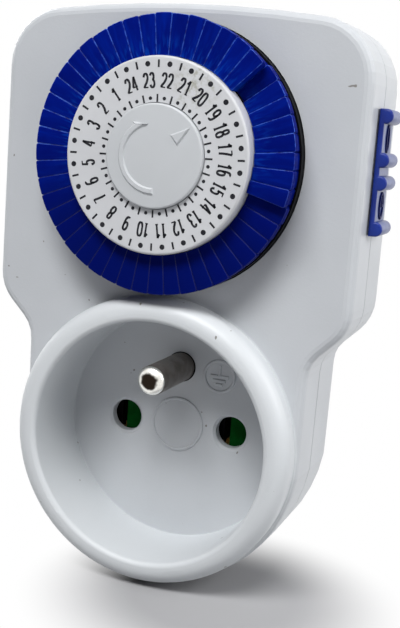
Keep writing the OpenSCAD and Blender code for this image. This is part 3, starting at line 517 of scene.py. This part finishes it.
# one tab: a shank with a wider head in front, whose edges take the worn finish with its painted light, and
# the leg behind
def addTab(bm, k, settings, draw):
    place = onDial(settings["phase"] + (k + settings["firstSet"] + 0.5) * 360 / settings["count"], 0)
    level = settings["usualFront"] + tabLevel(k, settings)
    front = level + draw.uniform(0, 1) * settings["wobble"]
    back = level + settings["depth"]
    ragged = draw.uniform(*settings["raggedBetween"]) * settings["ragged"]
    head = tabOutline(settings, settings["headRadius"] + ragged)
    shank = tabOutline(settings, settings["shankRadius"])
    headEnd, shankStart = settings["headDepth"]
    sections = [(shank, -back), (shank, -front - shankStart), (head, -front - headEnd)]
    rounded = roundedLevels(settings["edge"], -front)
    sections += [(insetPath(head, inset), height) for inset, height in rounded]
    rings = [[place(u, v, height) for u, v in path] for path, height in sections]
    skinRings(bm, rings, paint=settings["headPaint"])
    half, start, end = settings["legWidth"] / 2, settings["legFrom"], settings["legTo"]
    leg = [(-half, start), (half, start), (half, end), (-half, end)]
    edge, tip = settings["legEdge"], back + settings["legLength"]
    raisePath(bm, leg, place, [(edge, -tip), (0, -tip + edge), (0, -back + settings["legSunk"])])


def makeTabs(settings):
    draw = random.Random(settings["seed"])
    sets = [(name, [k]) for k, name in enumerate(tabNodes)]
    for g, name in enumerate(tabGroups):
        sets.append((name, range((g + 1) * settings["group"], (g + 2) * settings["group"])))
    for name, members in sets:
        bm = bmesh.new()
        for k in members:
            addTab(bm, k, settings, draw)
        finishPiece(name + ".moulded", bm, name, [tabBlue, tabEdgeBlue], node=name)


makeTabs(tabRing)
print("tabs made")

# the still hub in the middle, with its arrow and its time mark
hub = {
    "radius": (hubHigh.x - hubLow.x) / 2, "front": discFront - 0.75, "back": discFront + 1.0,
    "stemRadius": 3.4, "stemBack": hubHigh.y, "boreRadius": 2.0, "boreFront": discFront + 1.1,
    "edge": 0.35, "edgeSteps": 6, "markHeight": 0.25, "markSlope": 0.24, "markSunk": 0.05,
    "arrowInner": 4.6, "arrowOuter": 5.62, "arrowStart": 34.0, "arrowEnd": 184.3, "tipAt": (1.82, 4.36),
    "barbAt": (-0.36, 6.12), "headTrim": (3, 6),    # how far the band's edges start behind the head
    "timeMarkAngle": 51.0, "timeMarkTip": 7.3, "timeMarkBase": 3.95, "timeMarkHalf": 1.0}


def makeHub(settings):
    bm = bmesh.new()
    r, front, back, edge = settings["radius"], settings["front"], settings["back"], settings["edge"]
    steps = settings["edgeSteps"]
    profile = [(r - edge * (1 - math.sin(a)), front + edge * (1 - math.cos(a)))
               for a in [math.radians(90 / steps * i) for i in range(steps + 1)]]
    stem, stemBack = settings["stemRadius"], settings["stemBack"]
    bore = settings["boreRadius"]
    profile += [(r, back), (stem, back), (stem, stemBack), (bore, stemBack), (bore, settings["boreFront"])]
    skinRings(bm, [turnedRing(dialX, dialZ, radius, y) for radius, y in profile])
    place = onDial(0, front)
    levels = [(0, -settings["markSunk"]), (0, 0), (settings["markSlope"], settings["markHeight"])]
    # the arrow runs anticlockwise; its head is drawn in a frame turned to where the band starts
    start, end = settings["arrowStart"], settings["arrowEnd"]
    turn = math.radians(start)
    tip, barb = [(u * math.cos(turn) - v * math.sin(turn), u * math.sin(turn) + v * math.cos(turn))
                 for u, v in (settings["tipAt"], settings["barbAt"])]
    tipAngle = math.degrees(math.atan2(-tip[0], tip[1]))
    outerTrim, innerTrim = settings["headTrim"]
    wide, narrow = settings["arrowOuter"], settings["arrowInner"]
    outer = arcPoints(0, 0, wide, wide, 90 + start + outerTrim, 90 + end, 32)
    inner = arcPoints(0, 0, narrow, narrow, 90 + end, 90 + tipAngle + innerTrim, 34)
    raisePath(bm, [tip, barb] + outer + inner, place, levels)
    half, base = settings["timeMarkHalf"], settings["timeMarkBase"]
    mark = [(0, settings["timeMarkTip"]), (-half, base), (half, base)]
    raisePath(bm, mark, onDial(settings["timeMarkAngle"], front), levels)
    finishPiece("pointer_hub.moulded", bm, "root", [hubGrey], node="pointer_hub")


makeHub(hub)
print("hub made")

# the dial's print, a thin film on the disc: hours, and two rings of dots and ticks
dialPrint = {
    "firstHourAngle": -24.0,    # where 24 stands, clockwise from the top
    "hourTurn": 15.0, "digitRadius": 11.0, "digitHeight": 2.1, "digitWidth": 0.78, "digitGap": 0.24,
    "upright": 0.15, "level": 0.10,    # half widths of upright and level strokes
    "outerRadius": 13.4, "outerDot": 0.40, "outerTick": (1.1, 0.15),
    "innerRadius": 8.45, "innerDot": 0.27, "innerTick": (1.15, 0.14),
    "film": 0.012}


# strokes of the digits in a cell one wide and one high, as smooth paths
digitStrokes = {
    "0": [arcPoints(0.5, 0.66, 0.42, 0.34, 0, 180, 12) + arcPoints(0.5, 0.34, 0.42, 0.34, 180, 360, 12)
          + [(0.92, 0.66)]],
    "1": [[(0.6, 0.0), (0.6, 1.0)], [(0.14, 0.74), (0.38, 0.82), (0.62, 0.98)],
          [(0.34, 0.03), (0.88, 0.03)]],
    "2": [arcPoints(0.5, 0.72, 0.40, 0.28, 175, -25, 12) + [(0.62, 0.36), (0.30, 0.18), (0.10, 0.03)],
          [(0.04, 0.04), (0.94, 0.04)]],
    "3": [arcPoints(0.48, 0.76, 0.36, 0.24, 165, -85, 12), arcPoints(0.48, 0.28, 0.42, 0.28, 85, -165, 12)],
    "4": [[(0.72, 0.0), (0.72, 1.0)], [(0.70, 0.99), (0.06, 0.28)], [(0.0, 0.27), (1.0, 0.27)]],
    "5": [[(0.20, 0.96), (0.90, 0.96)], [(0.24, 0.99), (0.16, 0.50)],
          [(0.14, 0.52)] + arcPoints(0.48, 0.31, 0.42, 0.31, 125, -165, 14)],
    "6": [arcPoints(0.5, 0.30, 0.40, 0.30, 0, 360, 18),
          arcPoints(0.56, 0.56, 0.46, 0.44, 60, 180, 10) + [(0.10, 0.30)]],
    "7": [[(0.06, 0.96), (0.94, 0.96)], [(0.92, 0.97), (0.62, 0.58), (0.44, 0.26), (0.38, 0.0)]],
    "8": [arcPoints(0.5, 0.76, 0.34, 0.24, 0, 360, 16), arcPoints(0.5, 0.27, 0.42, 0.27, 0, 360, 18)]}
digitStrokes["9"] = [[(1 - u, 1 - v) for u, v in path] for path in digitStrokes["6"]]


def addDot(bm, place, v, radius, film):
    rim = ellipsePoints(0, v, radius, radius, 24)
    skinRings(bm, [[place(u, w, -sunk) for u, w in rim], [place(u, w, film) for u, w in rim]])


def printDial(settings):
    bm = bmesh.new()
    film = settings["film"]
    cellW, cellH = settings["digitWidth"], settings["digitHeight"]
    strokeHalf = lambda du, dv: settings["upright"] * abs(dv) + settings["level"] * abs(du)
    for hour in range(1, 25):
        angle = settings["firstHourAngle"] + settings["hourTurn"] * (24 - hour)
        place = onDial(angle, discFront)
        text = str(hour)
        width = len(text) * cellW + (len(text) - 1) * settings["digitGap"]
        for k, digit in enumerate(text):
            left = -width / 2 + k * (cellW + settings["digitGap"])
            for path in digitStrokes[digit]:
                cell = [(left + u * cellW, settings["digitRadius"] + (v - 0.5) * cellH) for u, v in path]
                sweepRidge(bm, cell, place, strokeHalf, film)
        addDot(bm, place, settings["outerRadius"], settings["outerDot"], film)
        addDot(bm, place, settings["innerRadius"], settings["innerDot"], film)
        between = onDial(angle + settings["hourTurn"] / 2, discFront)
        for radius, (length, half) in ((settings["outerRadius"], settings["outerTick"]),
                                       (settings["innerRadius"], settings["innerTick"])):
            sweepRidge(bm, [(0, radius - length / 2), (0, radius + length / 2)], between, half, film)
    finishPiece("dialPrint", bm, "dial", [printBlack])


printDial(dialPrint)
print("dial printed")

# the slide switch: a plate with four finger ridges, and raised marks for always on and for the timer
sideSwitch = {
    "plateThick": 0.8, "ridgeRadius": 1.1, "ridgeOut": 1.0, "edge": 0.3,
    "ridgesFromBottom": (1.1, 7.95, 11.35, 17.8), "markHalf": 0.17, "markHeight": 0.22, "markSlope": 0.08,
    "upperMark": (1.0, 2.05), "lowerMark": (1.4, 2.05), "handLength": (1.3, 1.0),
    "paint": [0, 0, 0, 1, 0, 0, 0]}    # the faces that stand outwards are painted pale: a painted reflection of the white room


def makeSwitch(settings):
    bm = bmesh.new()
    x0, plateX = switchLow.x, switchLow.x + settings["plateThick"]
    ridgeX, r = switchLow.x + settings["ridgeOut"], settings["ridgeRadius"]
    reach = 90 + math.degrees(math.asin((ridgeX - plateX) / r))
    ridges = [switchLow.z + z for z in settings["ridgesFromBottom"]]
    side = []
    for i, z in enumerate(ridges):
        first = -90 if i == 0 else -reach
        last = 90 if i == len(ridges) - 1 else reach
        side += arcPoints(ridgeX, z, r, r, first, last, 14)
    outline = [(x0, switchLow.z)] + side + [(x0, switchHigh.z)]
    place = lambda u, v, height: Vector((u, -height, v))
    front = roundedLevels(settings["edge"], -switchLow.y)
    back = [(inset, -switchHigh.y - switchLow.y - height) for inset, height in reversed(front)]
    raisePath(bm, outline, place, back + front, paint=settings["paint"])
    middle = (switchLow.y + switchHigh.y) / 2
    onPlate = lambda u, v, height: Vector((plateX + height, middle + u, v))
    half, height, slope = settings["markHalf"], settings["markHeight"], settings["markSlope"]
    marks = bmesh.new()
    for (across, along), below, above in ((settings["upperMark"], ridges[2], ridges[3]),
                                          (settings["lowerMark"], ridges[0], ridges[1])):
        rim = ellipsePoints(0, (below + above) / 2, across - half, along - half, 36)
        sweepRidge(marks, rim, onPlate, half, height, slope, closed=True)
    centre = (ridges[0] + ridges[1]) / 2
    up, along = settings["handLength"]
    sweepRidge(marks, [(0, centre), (0, centre + up)], onPlate, half, height, slope)
    sweepRidge(marks, [(0, centre), (along, centre)], onPlate, half, height, slope)
    finishPiece("slide_switch.moulded", bm, "side_switch", [switchBlue, switchPaintedReflection],
                smoothAngle=40, node="slide_switch")
    finishPiece("switchMarks", marks, "side_switch", [markBlue])


makeSwitch(sideSwitch)
print("switch made")

# the socket's earth pin: a bright ring round a dark middle on its tip, a painted reflection, and a black
# band round its foot, a painted shadow of the gap there
earthPin = {
    "radius": 2.4, "tipDepth": 1.5, "rimRadius": 2.25, "footRadius": 2.56, "footHigh": 0.06,
    "seatRadius": 2.0, "collarRadius": 3.4, "collarFront": recessFloor + 2, "collarBack": recessFloor + 3,
    "domeAngles": (4, 12, 20, 28, 36, 44, 52, 60, 67, 74, 80, 85, 90), "steps": 48}


def makeEarthPin(settings):
    bm = bmesh.new()
    x, z = pinAxis
    r, tip, depth, seat = settings["radius"], pinLow.y, settings["tipDepth"], settings["seatRadius"]
    collar, front, back = settings["collarRadius"], settings["collarFront"], settings["collarBack"]
    turns = [math.radians(a) for a in settings["domeAngles"]]
    dome = [(r * math.sin(a), tip + depth * (1 - math.cos(a))) for a in turns]
    # a black band round the foot: painted shadow of the gap round the pin
    foot, footFront = settings["footRadius"], recessFloor - settings["footHigh"]
    profile = dome + [(r, footFront), (foot, footFront), (foot, recessFloor), (seat, recessFloor),
                      (seat, front), (collar, front), (collar, back), (seat, back), (seat, pinHigh.y)]
    # the dome's middle takes the painted reflection, a bright ring round a dark middle; the shank is dull;
    # the black band round the foot is painted shadow
    paint = [0 if radius < settings["rimRadius"] else 1 for radius, y in dome] + [2, 2] + [1] * 6
    skinRings(bm, [turnedRing(x, z, radius, y, settings["steps"]) for radius, y in profile], paint=paint)
    finishPiece("socket_earth_pin.turned", bm, "root", [tipPaintedReflection, darkNickel, carrierBlack],
                node="socket_earth_pin")


makeEarthPin(earthPin)
print("earth pin made")

# low marks on the recess floor: the earth symbol and the bare ring of the badge
recessMarks = {
    "earthAt": (6.9, 9.3), "earthRadius": 2.62, "badgeAt": (0.0, 0.1), "badgeRadius": 4.4,
    "half": 0.14, "slope": 0.14, "height": 0.22,
    "stem": (0.72, 0.02), "bars": ((0.0, 0.62), (0.28, 0.42), (0.54, 0.22))}    # in parts of the radius


def mouldRecessMarks(settings):
    bm = bmesh.new()
    place = lambda u, v, height: Vector((u, recessFloor - height, v))
    half, slope, height = settings["half"], settings["slope"], settings["height"]
    for (u, v), radius in ((settings["earthAt"], settings["earthRadius"]),
                           (settings["badgeAt"], settings["badgeRadius"])):
        ring = ellipsePoints(u, v, radius, radius, 72)
        sweepRidge(bm, ring, place, half, height, slope, closed=True)
    u, v = settings["earthAt"]
    radius = settings["earthRadius"]
    # a stem on three bars that get shorter
    sweepRidge(bm, [(u, v + radius * part) for part in settings["stem"]], place, half, height, slope)
    for drop, reach in settings["bars"]:
        w = v - radius * drop
        sweepRidge(bm, [(u - radius * reach, w), (u + radius * reach, w)], place, half, height, slope)
    finishPiece("recessMarks", bm, "root", [housingGrey])


mouldRecessMarks(recessMarks)
print("recess marked")

# place in mm, turns in degrees, lens and sensor in mm; nothing nearer than nearest, in m, is cut off
camera = {
    "place": (61.45, -190.61, 47.92), "turn": 19.89, "tilt": -9.40, "roll": 4.27,
    "lens": 60.72, "sensorHeight": 36, "nearest": 0.01}


def addCamera(settings):
    data = bpy.data.cameras.new("viewCamera")
    data.sensor_fit = "VERTICAL"
    data.sensor_height = settings["sensorHeight"]
    data.lens = settings["lens"]
    data.clip_start = settings["nearest"]
    made = bpy.data.objects.new("viewCamera", data)
    bpy.context.scene.collection.objects.link(made)
    turn = Matrix.Rotation(math.radians(settings["turn"]), 4, "Z")
    tilt = Matrix.Rotation(math.radians(90 + settings["tilt"]), 4, "X")
    roll = Matrix.Rotation(math.radians(settings["roll"]), 4, "Z")
    made.matrix_world = Matrix.Translation(Vector(settings["place"]) * mm) @ turn @ tilt @ roll
    bpy.context.scene.camera = made


addCamera(camera)

# the pale floor, the lamps and the room's own light, in m and watts
studio = {
    "floorZ": cadBox[0][2], "floorSize": 3.0, "floorColour": rgb(0.36, 0.36, 0.37),
    # the dark grey floor shows to the camera only round shadowAt: a painted shadow
    "shadowAt": (0.012, -0.038), "floorFade": (0.012, 0.032),
    "lamps": [    # name, place, width, height, watts
        ("keyLamp", (-0.03, -0.60, 0.80), 0.62, 0.30, 10.6),
        ("rightLamp", (0.56, -0.07, 0.30), 0.4, 0.4, 2.3),
        ("leftLamp", (-0.55, 0.30, 0.30), 0.4, 0.4, 2.0),
        ("backLamp", (0.40, 0.45, 0.15), 0.5, 0.5, 0.8)],
    "lampsAim": (0, -0.03, 0.02),
    "roomColour": rgb(0.97, 0.98, 1.0), "roomDim": 0.015, "roomBright": 0.4, "roomTurn": (-0.1, 0.6)}


# 1 for the rays that see the white background: the camera's, and reflections in metal
def seesBackground(tree):
    rays = addNode(tree, "ShaderNodeLightPath")
    return calculate(tree, "MAXIMUM", rays.outputs["Is Camera Ray"], rays.outputs["Is Glossy Ray"])


def addFloor(settings):
    half = settings["floorSize"] / 2
    bm = bmesh.new()
    corners = [(-half, -half), (half, -half), (half, half), (-half, half)]
    bm.faces.new([bm.verts.new((x, y, settings["floorZ"])) for x, y in corners])
    mesh = bpy.data.meshes.new("floor")
    bm.to_mesh(mesh)
    bm.free()
    floor = bpy.data.objects.new("floor", mesh)
    bpy.context.scene.collection.objects.link(floor)
    material = bpy.data.materials.new("floorWhite")
    material.use_nodes = True
    tree = material.node_tree
    tree.nodes.clear()
    cloth = addNode(tree, "ShaderNodeBsdfDiffuse", {"Color": settings["floorColour"]})
    glow = addNode(tree, "ShaderNodeEmission", {"Color": white})
    mix = addNode(tree, "ShaderNodeMixShader")
    out = addNode(tree, "ShaderNodeOutputMaterial")
    # the camera sees the dark grey floor only round a point under the object's front: a painted shadow,
    # added to the lamps' own; away from it the floor melts into the white behind it
    coords = addNode(tree, "ShaderNodeTexCoord").outputs["Object"]
    away = addNode(tree, "ShaderNodeVectorMath", operation="DISTANCE")
    away.inputs[1].default_value = (*settings["shadowAt"], settings["floorZ"])
    tree.links.new(coords, away.inputs[0])
    far = stepBetween(tree, away.outputs["Value"], *settings["floorFade"])
    tree.links.new(calculate(tree, "MULTIPLY", far, seesBackground(tree)), mix.inputs[0])
    tree.links.new(cloth.outputs[0], mix.inputs[1])
    tree.links.new(glow.outputs[0], mix.inputs[2])
    tree.links.new(mix.outputs[0], out.inputs["Surface"])
    mesh.materials.append(material)


def addLamps(settings):
    target = Vector(settings["lampsAim"])
    for name, place, width, height, watts in settings["lamps"]:
        data = bpy.data.lights.new(name, "AREA")
        data.shape = "RECTANGLE"
        data.size, data.size_y, data.energy = width, height, watts
        lamp = bpy.data.objects.new(name, data)
        bpy.context.scene.collection.objects.link(lamp)
        lamp.location = place
        lamp.rotation_euler = (target - Vector(place)).to_track_quat("-Z", "Y").to_euler()


# the background is white all round; the light of the room comes from behind the object
def setWorld(settings):
    world = bpy.data.worlds.new("studio")
    bpy.context.scene.world = world
    world.use_nodes = True
    tree = world.node_tree
    tree.nodes.clear()
    split = addNode(tree, "ShaderNodeSeparateXYZ")
    tree.links.new(addNode(tree, "ShaderNodeTexCoord").outputs["Generated"], split.inputs[0])
    behind = addNode(tree, "ShaderNodeMapRange", {
        "From Min": settings["roomTurn"][0], "From Max": settings["roomTurn"][1],
        "To Min": settings["roomDim"], "To Max": settings["roomBright"]}, interpolation_type="SMOOTHSTEP")
    tree.links.new(split.outputs["Y"], behind.inputs["Value"])
    room = addNode(tree, "ShaderNodeBackground", {"Color": settings["roomColour"]})
    tree.links.new(behind.outputs["Result"], room.inputs["Strength"])
    seen = addNode(tree, "ShaderNodeBackground", {"Color": white, "Strength": 1.0})
    mix = addNode(tree, "ShaderNodeMixShader")
    out = addNode(tree, "ShaderNodeOutputWorld")
    tree.links.new(seesBackground(tree), mix.inputs[0])
    tree.links.new(room.outputs[0], mix.inputs[1])
    tree.links.new(seen.outputs[0], mix.inputs[2])
    tree.links.new(mix.outputs[0], out.inputs["Surface"])


addFloor(studio)
addLamps(studio)
setWorld(studio)
bpy.context.scene.view_settings.view_transform = "Standard"
print("studio lit")
